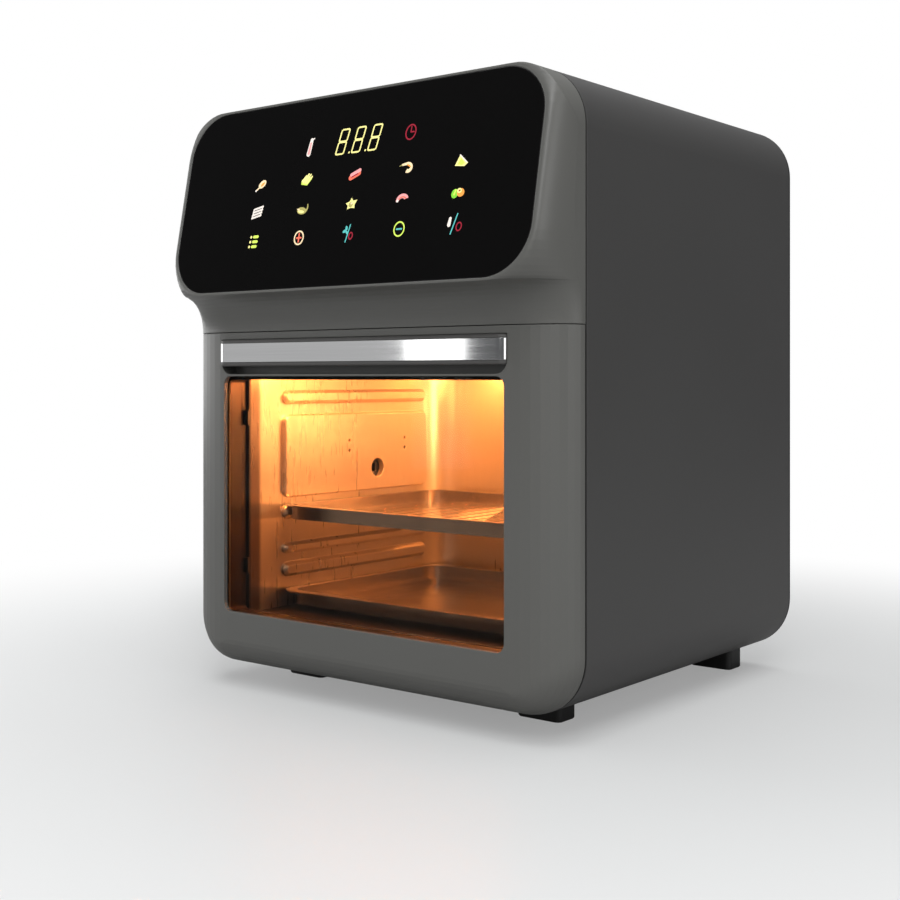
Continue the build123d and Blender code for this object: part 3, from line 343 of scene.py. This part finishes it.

# ------------------------------------------------------------------ trays
# A slotted tray on the third pair of guides and a solid drip tray below, pressed from
# stainless sheet with a satin finish and a rolled rim. The steel is painted darker than the
# oven's walls as shade on the trays' unlit fronts, and the rim's edges are painted lighter as a
# highlight.

# Painted shade and highlight: a darker steel than the walls' for the unlit fronts, edges lifted
# 1.5 times.
tray_steel = finish("tray_steel", (0.46, 0.42, 0.38), (0.40, 0.36, 0.33), (0.20, 0.27),
                    grain=500.0, patch=12.0, metallic=0.95, bump=0.0,
                    edge=0.00015, edge_light=1.5)
coat_node(tray_steel, "mesh_tray", "drip_tray")

# ------------------------------------------------------------------ control head
# Hollow moulding over the door with a concave neck below and a leaning face above,
# painted in a satin warm grey that the door shares.

front_paint = finish("front_paint", (0.124, 0.124, 0.116), (0.116, 0.116, 0.108), (0.36, 0.44),
                     grain=1600.0, patch=5.0, bump=0.06, edge=0.0007, edge_light=1.5)
coat_node(front_paint, "control_head")

# ------------------------------------------------------------------ touch panel
# Toughened glass printed black on its back, bonded into the head's recess. The keys'
# pictures and the lamp digits show through it in their own colours.

# Painted highlight: the glass's edges are lifted to eight times its colour.
panel_glass = finish("panel_glass", (0.0046, 0.0044, 0.0044), (0.0040, 0.0038, 0.0038),
                     (0.06, 0.10), grain=300.0, bump=0.0, specular=0.08, edge=0.0008,
                     edge_light=8.0)
coat_node(panel_glass, "control_panel_glass")

panel_low, panel_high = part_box("control_panel_glass")
panel_lean = math.radians(10.9)
panel_thick = 0.003
panel_out = Vector((0, -math.cos(panel_lean), math.sin(panel_lean)))
panel_up = Vector((0, math.sin(panel_lean), math.cos(panel_lean)))
panel_middle = (panel_low + panel_high) / 2 + panel_out * (panel_thick / 2)
mark_lift = 0.00006            # first layer of a mark above the glass
layer_step = 0.25              # rise of each further layer, as a share of that
mm_per_metre = 1000.0          # the marks below are drawn in millimetres


def ink(name, colour, glow=0.55):
    """Printed colour lit softly from behind, a little uneven as screen print is."""
    thin_print = 0.86
    made = finish(name, colour, [thin_print * value for value in colour], (0.3, 0.4),
                  grain=1800.0, patch=180.0, bump=0.0, specular=0.2, edge=0.00005,
                  edge_light=1.0)
    shader = made.node_tree.nodes["Principled BSDF"]
    shader.inputs["Emission Color"].default_value = (*colour, 1)
    shader.inputs["Emission Strength"].default_value = glow
    return made


INKS = {
    "white": ink("ink_white", (0.78, 0.72, 0.66)),
    "cream": ink("ink_cream", (0.86, 0.68, 0.42)),
    "yellow": ink("ink_yellow", (0.86, 0.80, 0.30)),
    "lime": ink("ink_lime", (0.62, 0.80, 0.12)),
    "green": ink("ink_green", (0.22, 0.62, 0.05)),
    "olive": ink("ink_olive", (0.40, 0.36, 0.12)),
    "orange": ink("ink_orange", (0.86, 0.34, 0.07)),
    "red": ink("ink_red", (0.80, 0.16, 0.10)),
    "wine": ink("ink_wine", (0.34, 0.02, 0.04), 0.4),
    "pink": ink("ink_pink", (0.82, 0.34, 0.34)),
    "teal": ink("ink_teal", (0.10, 0.48, 0.46)),
}


def ring_points(x, y, wide, tall, turn=0.0, start=0.0, sweep=360.0, steps=28):
    """Points round an ellipse, or along part of it, turned about its middle."""
    c, s = math.cos(math.radians(turn)), math.sin(math.radians(turn))
    count = steps if sweep >= 360 else steps + 1
    for step in range(count):
        angle = math.radians(start + sweep * step / steps)
        a, b = wide / 2 * math.cos(angle), tall / 2 * math.sin(angle)
        yield x + a * c - b * s, y + a * s + b * c


def disc(colour, x, y, wide, tall, turn=0.0):
    """A filled ellipse."""
    return colour, list(ring_points(x, y, wide, tall, turn)), None, True


def arc(colour, x, y, wide, tall, thick, turn=0.0, start=0.0, sweep=360.0, taper=1.0):
    """A curved band; taper narrows it towards its end."""
    outer = list(ring_points(x, y, wide, tall, turn, start, sweep))
    inner = list(ring_points(x, y, wide - 2 * thick, tall - 2 * thick, turn, start, sweep))
    last = len(outer) - 1
    for index, (a, b) in enumerate(zip(outer, inner)):
        keep = 1 - (1 - taper) * index / last
        inner[index] = (a[0] + (b[0] - a[0]) * keep, a[1] + (b[1] - a[1]) * keep)
    return colour, outer, inner, sweep >= 360


def bar(colour, x0, y0, x1, y1, thick, end_thick=None):
    """A straight stroke with round ends."""
    end_steps = 8
    run = math.atan2(y1 - y0, x1 - x0)
    points = []
    for x, y, wide, first in ((x1, y1, end_thick or thick, -90), (x0, y0, thick, 90)):
        for step in range(end_steps + 1):
            angle = run + math.radians(first + 180 * step / end_steps)
            points.append((x + wide / 2 * math.cos(angle), y + wide / 2 * math.sin(angle)))
    return colour, points, None, True


def shape(colour, *points):
    """A filled outline of straight sides."""
    return colour, list(points), None, True


def print_mark(name, centre, parts, slant=0.0):
    """Lay one picture on the panel's face: flat parts, each a hair above the last."""
    mesh = bmesh.new()
    colours = []
    for layer, (colour, outline, inner, closed) in enumerate(parts):
        if colour not in colours:
            colours.append(colour)

        def on_face(point):
            x = centre[0] + (point[0] + slant * point[1])
            up = centre[1] + point[1]
            lift = mark_lift * (1 + layer_step * layer)
            return mesh.verts.new(panel_middle + Vector((x / mm_per_metre, 0, 0))
                                  + panel_up * (up / mm_per_metre) + panel_out * lift)

        outside = [on_face(point) for point in outline]
        faces = []
        if inner is None:
            faces.append(mesh.faces.new(outside))
        else:
            inside = [on_face(point) for point in inner]
            for i in range(len(outside) - (0 if closed else 1)):
                j = (i + 1) % len(outside)
                faces.append(mesh.faces.new((outside[i], outside[j], inside[j], inside[i])))
        for face in faces:
            face.normal_update()
            if face.normal.dot(panel_out) < 0:
                face.normal_flip()
            face.material_index = colours.index(colour)
    data = bpy.data.meshes.new(name)
    mesh.to_mesh(data)
    mesh.free()
    for colour in colours:
        data.materials.append(INKS[colour])
    piece = bpy.data.objects.new(name, data)
    bpy.context.scene.collection.objects.link(piece)
    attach(piece, "cabinet")


def round_box(wide, tall, radius):
    """Outline of a rounded rectangle about the origin."""
    corner_steps = 4
    points = []
    w, t = wide / 2 - radius, tall / 2 - radius
    for x, y, first in ((w, t, 0), (-w, t, 90), (-w, -t, 180), (w, -t, 270)):
        for step in range(corner_steps + 1):
            angle = math.radians(first + 90 * step / corner_steps)
            points.append((x + radius * math.cos(angle), y + radius * math.sin(angle)))
    return points


digit_wide, digit_tall, digit_stroke, digit_slant = 7.6, 16.2, 1.05, 0.21
digit_round_out, digit_round_in = 1.6, 0.6
digit_pitch = 13.3
digit_row = (8.0, 30.2)
point_wide, point_ahead, point_rise = 1.3, 1.4, 0.6
for place in range(3):
    left = (place - 1) * digit_pitch
    half = digit_tall / 2
    parts = []
    for low in (0, -half):
        middle = low + half / 2
        outside = [(left + x, middle + y) for x, y in
                   round_box(digit_wide, half + digit_stroke / 2, digit_round_out)]
        inside = [(left + x, middle + y) for x, y in
                  round_box(digit_wide - 2 * digit_stroke, half - 1.5 * digit_stroke,
                            digit_round_in)]
        parts.append(("yellow", outside, inside, True))
    if place < 2:
        parts.append(disc("yellow", left + digit_pitch / 2 + point_ahead, -half + point_rise,
                          point_wide, point_wide))
    print_mark(f"lamp_digit_{place + 1}", digit_row, parts, digit_slant)

column = [-73.2, -32.2, 8.8, 49.8, 90.8]
row = [8.2, -10.5, -29.2]

print_mark("mark_thermometer", (-33.3, 29.3), [
    bar("white", 1.0, 5.0, -0.5, -4.0, 2.6, 3.4), bar("pink", 0.6, 3.0, -0.4, -3.6, 1.2, 2.0),
    bar("white", 1.4, 5.2, 3.0, 5.8, 0.9)])
print_mark("mark_clock", (49.5, 30.2), [
    arc("wine", 0, 0, 8.4, 10.0, 0.9, -12), bar("wine", 0, 0, 0.3, 3.4, 0.8),
    bar("wine", 0, 0, 2.6, 0, 0.8)])
print_mark("key_drumstick", (column[0], row[0]), [
    bar("cream", -3.6, -3.0, -0.5, -0.6, 1.1), disc("cream", 1.2, 0.8, 7.2, 4.6, 32),
    disc("orange", 1.6, 0.7, 4.2, 1.7, 34), disc("white", -3.9, -3.2, 1.6, 1.3, 0)])
print_mark("key_fries", (column[1], row[0]), [
    shape("lime", (-4.4, -2.6), (0.8, -3.6), (4.6, 0.6), (0.0, 3.0), (-4.2, 0.2)),
    bar("yellow", -2.6, -1.4, 1.4, 3.6, 1.3), bar("yellow", -1.0, -1.8, 3.2, 3.2, 1.2),
    bar("yellow", 0.6, -2.2, 4.4, 1.8, 1.2), bar("yellow", -3.8, -0.6, -0.6, 2.6, 1.2)])
print_mark("key_sausage", (column[2], row[0]), [
    bar("red", -3.4, -2.2, 3.0, 0.4, 3.2), bar("pink", -3.0, -0.4, 3.6, 2.2, 2.2),
    bar("wine", -2.6, -1.7, 2.2, 0.1, 0.8)])
print_mark("key_prawn", (column[3], row[0]), [
    arc("cream", 1.0, 0.0, 7.0, 6.6, 2.5, 0, -120, 250, 0.5),
    bar("cream", -3.6, 2.0, 0.6, 2.5, 1.2, 1.9), bar("orange", 0.4, 1.8, 2.8, 0.4, 0.8),
    bar("olive", -5.6, 1.4, -3.6, 1.9, 0.5)])
print_mark("key_cake", (column[4], row[0]), [
    shape("yellow", (-4.6, -2.6), (-1.4, 4.0), (4.8, -1.4), (2.4, -3.4)),
    shape("lime", (-2.8, -2.0), (-0.6, 2.0), (2.6, -1.6), (0.6, -2.6)),
    bar("white", -1.4, 3.6, 4.0, -1.2, 0.8)])
print_mark("key_ribs", (column[0], row[1]), [
    *[bar("white", -4.2 + 0.4 * i, -2.9 + 1.9 * i, 3.6 + 0.4 * i, -1.3 + 1.9 * i, 1.3)
      for i in range(4)], bar("white", -4.0, -2.8, -3.2, 2.6, 1.0),
    bar("white", 3.4, -1.2, 4.4, 4.0, 0.9)])
print_mark("key_fish", (column[1], row[1]), [
    disc("olive", -0.8, -1.2, 8.0, 4.6, -8),
    arc("olive", 0.6, 1.0, 8.0, 8.4, 1.7, 0, -80, 110, 0.4),
    disc("yellow", -1.2, -1.8, 5.2, 1.8, -8),
    shape("cream", (-5.2, 0.4), (-2.8, -1.8), (-2.6, 0.2))])
print_mark("key_pastry", (column[2], row[1]), [
    shape("yellow", (-4.6, 0.4), (-1.4, 1.6), (-0.2, 3.8), (1.4, 1.8), (4.6, 2.2), (2.8, -0.8),
          (3.0, -3.0), (-0.4, -2.6), (-3.0, -3.4), (-2.8, -1.0)),
    disc("olive", -0.4, -0.6, 3.6, 3.2, 20), disc("cream", 0.3, 0.2, 1.8, 1.4, 20)])
print_mark("key_steak", (column[3], row[1]), [
    arc("pink", -0.4, -1.2, 9.6, 8.0, 3.2, 8, 10, 172, 0.7),
    arc("red", -0.4, -1.6, 7.0, 5.6, 0.9, 8, 20, 150, 0.7),
    disc("white", -4.0, -1.4, 2.0, 1.6, 30)])
print_mark("key_vegetables", (column[4], row[1]), [
    disc("green", -2.2, -0.6, 4.8, 5.6, -20), disc("orange", 2.0, -0.2, 5.4, 5.0, 0),
    disc("yellow", 1.0, 1.0, 3.4, 3.0, 0), disc("wine", 1.2, 1.0, 1.6, 1.0, 20),
    bar("lime", -2.6, -1.2, -1.6, 1.6, 1.0)])
print_mark("key_menu", (column[0], row[2]), [
    part for i in range(3) for part in
    (disc("yellow", -3.0 + 0.4 * i, -3.2 + 3.2 * i, 1.8, 1.8),
     bar("lime", -0.3 + 0.4 * i, -3.2 + 3.2 * i, 2.9 + 0.4 * i, -3.2 + 3.2 * i, 1.9))])
print_mark("key_plus", (column[1], row[2]), [
    arc("cream", 0, 0, 8.6, 9.4, 1.0), bar("red", -1.9, 0, 1.9, 0, 1.1),
    bar("red", 0, -2.6, 0, 2.6, 1.1)])
print_mark("key_fan", (column[2], row[2]), [
    disc("teal", -2.6, 1.6, 3.2, 1.9, 20), disc("teal", -1.2, 3.4, 1.8, 3.0, 10),
    disc("teal", -0.4, 0.6, 2.6, 1.7, -40), bar("teal", -1.0, -5.2, 1.7, 5.4, 0.8),
    arc("wine", 2.9, -1.6, 3.8, 5.0, 0.9, -10)])
print_mark("key_minus", (column[3], row[2]), [
    arc("lime", 0, 0, 8.6, 9.4, 0.9), bar("teal", -1.9, 0, 1.9, 0, 1.0)])
print_mark("key_swap", (column[4], row[2]), [
    bar("white", -3.2, 3.6, -3.8, -0.2, 1.9, 2.4), bar("teal", -2.0, -5.6, 1.8, 6.0, 0.8),
    arc("wine", 3.6, -1.6, 4.4, 5.6, 0.8, -12)])

# ------------------------------------------------------------------ door
# Moulded frame in the head's paint, two panes of glass with a silicone seal, and a steel
# pan behind that closes the back. Two pins at the bottom turn in fixed steel arms.

coat_node(front_paint, "door_frame")
window_glass = clear_glass("window_glass", (0.80, 0.70, 0.62), 0.0, 0.12, ior=1.12)
coat_node(window_glass, "outer_glass")
inner_glass = clear_glass("inner_glass", (0.86, 0.80, 0.74), 0.0, 0.3, ior=1.12)
coat_node(inner_glass, "inner_glass")
silicone = finish("silicone", (0.78, 0.72, 0.64), (0.70, 0.64, 0.56), (0.5, 0.7), bump=0.2)
coat_node(silicone, "glass_seal")
pan_steel = finish("pan_steel", (0.10, 0.075, 0.06), (0.06, 0.045, 0.04), (0.3, 0.45),
                   grain=300.0, stretch=(0.15, 1, 1), metallic=0.7, bump=0.0)
coat_node(pan_steel, "inner_pan")
nickel = finish("nickel", (0.70, 0.68, 0.64), (0.55, 0.54, 0.5), (0.15, 0.25),
                metallic=1.0, edge=0.0003)
coat_node(nickel, "door_magnets")

# ------------------------------------------------------------------ handle
# Moulded bar on two pillars that stand in the door's finger pocket, faced with a strip
# of aluminium brushed along its length.

handle_paint = finish("handle_paint", (0.085, 0.083, 0.080), (0.070, 0.068, 0.066),
                      (0.36, 0.46), grain=1600.0, bump=0.1, edge=0.0006)
coat_node(handle_paint, "handle_bar")
brushed = finish("brushed_strip", (0.66, 0.66, 0.66), (0.60, 0.60, 0.60), (0.05, 0.08),
                 grain=1800.0, patch=200.0, stretch=(0.01, 1, 1), metallic=1.0, bump=0.03,
                 edge=0.0003)
coat_node(brushed, "handle_trim")

# ------------------------------------------------------------------ floor and world
# A pale floor that fades to white away from the object, and a white world that lights it
# only a little.

floor_half_side = 14.0
fade_start, fade_end = 0.28, 0.76       # distances from the object's middle
# Painted light: near the object the eye sees this share of plain white, which lifts the floor's
# cast shadow.
fade_least = 0.30                       # whiteness nearer than the first of them
floor_mesh = bmesh.new()
bmesh.ops.create_grid(floor_mesh, x_segments=1, y_segments=1, size=floor_half_side)
floor_data = bpy.data.meshes.new("floor")
floor_mesh.to_mesh(floor_data)
floor_mesh.free()
floor = bpy.data.objects.new("floor", floor_data)
bpy.context.scene.collection.objects.link(floor)
floor_paint = bpy.data.materials.new("floor_paint")
floor_paint.use_nodes = True
tree = floor_paint.node_tree
link = tree.links.new
shader = tree.nodes["Principled BSDF"]
shader.inputs["Base Color"].default_value = (0.58, 0.59, 0.59, 1)
shader.inputs["Roughness"].default_value = 0.42
shader.inputs["Specular IOR Level"].default_value = 0.25
place = tree.nodes.new("ShaderNodeTexCoord")
away = tree.nodes.new("ShaderNodeVectorMath")
away.operation = "LENGTH"
fade = tree.nodes.new("ShaderNodeMapRange")
fade.interpolation_type = "SMOOTHSTEP"
fade.inputs["From Min"].default_value = fade_start
fade.inputs["From Max"].default_value = fade_end
fade.inputs["To Min"].default_value = fade_least
white = tree.nodes.new("ShaderNodeEmission")
path = tree.nodes.new("ShaderNodeLightPath")
both = tree.nodes.new("ShaderNodeMath")
both.operation = "MULTIPLY"
mix = tree.nodes.new("ShaderNodeMixShader")
link(place.outputs["Object"], away.inputs[0])
link(away.outputs["Value"], fade.inputs["Value"])
link(fade.outputs[0], both.inputs[0])
link(path.outputs["Is Camera Ray"], both.inputs[1])
link(both.outputs[0], mix.inputs["Fac"])
link(shader.outputs[0], mix.inputs[1])
link(white.outputs[0], mix.inputs[2])
bounce = tree.nodes.new("ShaderNodeBsdfDiffuse")
bounce.inputs["Color"].default_value = (0.40, 0.40, 0.40, 1)
seen_or_not = tree.nodes.new("ShaderNodeMixShader")
link(path.outputs["Is Camera Ray"], seen_or_not.inputs["Fac"])
link(bounce.outputs[0], seen_or_not.inputs[1])
link(mix.outputs[0], seen_or_not.inputs[2])
link(seen_or_not.outputs[0], tree.nodes["Material Output"].inputs["Surface"])
floor_data.materials.append(floor_paint)

world = bpy.data.worlds.new("studio")
bpy.context.scene.world = world
world.use_nodes = True
tree = world.node_tree
link = tree.links.new
seen = tree.nodes["Background"]
seen.inputs["Color"].default_value = (1, 1, 1, 1)
fill = tree.nodes.new("ShaderNodeBackground")
fill.inputs["Color"].default_value = (0.95, 0.97, 1.0, 1)
fill.inputs["Strength"].default_value = 0.16
path = tree.nodes.new("ShaderNodeLightPath")
mix = tree.nodes.new("ShaderNodeMixShader")
link(path.outputs["Is Camera Ray"], mix.inputs["Fac"])
link(fill.outputs[0], mix.inputs[1])
link(seen.outputs[0], mix.inputs[2])
link(mix.outputs[0], tree.nodes["World Output"].inputs["Surface"])

# ------------------------------------------------------------------ lights
# Soft boxes round the object, three of them at the left for the handle strip, and small
# warm ones inside the oven under the guard, by the floor and at the lamp.


def soft_box(name, spot, target, wide, tall, power, colour=(1, 1, 1)):
    """An area light at a spot, turned to face a target."""
    light = bpy.data.lights.new(name, "AREA")
    light.shape = "RECTANGLE"
    light.size, light.size_y = wide, tall
    light.energy = power
    light.color = colour
    lamp = bpy.data.objects.new(name, light)
    bpy.context.scene.collection.objects.link(lamp)
    lamp.location = spot
    lamp.rotation_euler = (Vector(target) - Vector(spot)).to_track_quat("-Z", "Y").to_euler()


middle = (0, 0, 0.19)
strip_middle = 0.22
for name, spot, target, wide, tall, power in (
        ("top_box", (0.1, -0.1, 2.2), (0, 0, 0), 2.4, 2.4, 50.0),
        ("front_box", (0.9, -2.2, 1.0), middle, 1.6, 1.4, 10.0),
        ("upper_box", (1.3, -1.7, 2.0), middle, 1.0, 1.0, 20.0),
        ("side_box", (2.4, -0.3, 0.9), middle, 1.4, 1.4, 11.0),
        ("strip_box", (-0.878, -1.303, 0.25), (0.07, -0.14, strip_middle), 0.10, 0.40, 0.36),
        ("card_box", (-1.10, -1.20, 0.25), (-0.04, -0.14, strip_middle), 0.36, 0.50, 0.26),
        ("end_box", (-1.50, 0.00, 0.28), (-0.12, 0.00, 0.25), 2.00, 0.30, 4.0),
        ("left_box", (-2.6, -0.6, 1.0), middle, 1.2, 1.2, 8.0)):
    soft_box(name, spot, target, wide, tall, power)

_, oven_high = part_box("cavity_wrap")
guard_low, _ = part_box("fan_guard")
warm, lamp_warm = (1.0, 0.36, 0.10), (1.0, 0.56, 0.24)
under_guard = guard_low.z - 0.002
lower_guard = guard_low.z - 0.004
for name, spot, target, wide, tall, power, colour in (
        ("oven_glow", (0.0, 0.0, under_guard), (0.0, 0.0, 0), 0.20, 0.17, 0.6, warm),
        ("oven_left", (-0.075, -0.075, lower_guard), (-0.10, -0.07, 0.1), 0.05, 0.05, 0.5, warm),
        ("oven_back", (-0.068, 0.062, lower_guard), (-0.075, 0.09, 0.1), 0.03, 0.03, 0.2, warm),
        ("oven_low", (0.02, 0.01, 0.106), (0.0, 0.0, 0), 0.16, 0.10, 0.2, warm),
        ("oven_lamp", (oven_high.x - 0.012, 0.03, 0.175), (-0.05, 0.09, 0.17), 0.03, 0.03, 0.3,
         lamp_warm)):
    soft_box(name, spot, target, wide, tall, power, colour)

# ------------------------------------------------------------------ camera
# Level camera at the object's front right corner, its frame shifted down to hold the floor.

camera_turn = 38.491
camera_data = bpy.data.cameras.new("camera")
camera_data.lens = 54.64
camera_data.sensor_width = 36.0
camera_data.shift_y = -0.082
camera = bpy.data.objects.new("camera", camera_data)
bpy.context.scene.collection.objects.link(camera)
camera.location = (0.5698, -0.7559, 0.2073)
camera.rotation_euler = (math.radians(90), 0, math.radians(camera_turn))
bpy.context.scene.camera = camera
bpy.context.scene.view_settings.view_transform = "Standard"
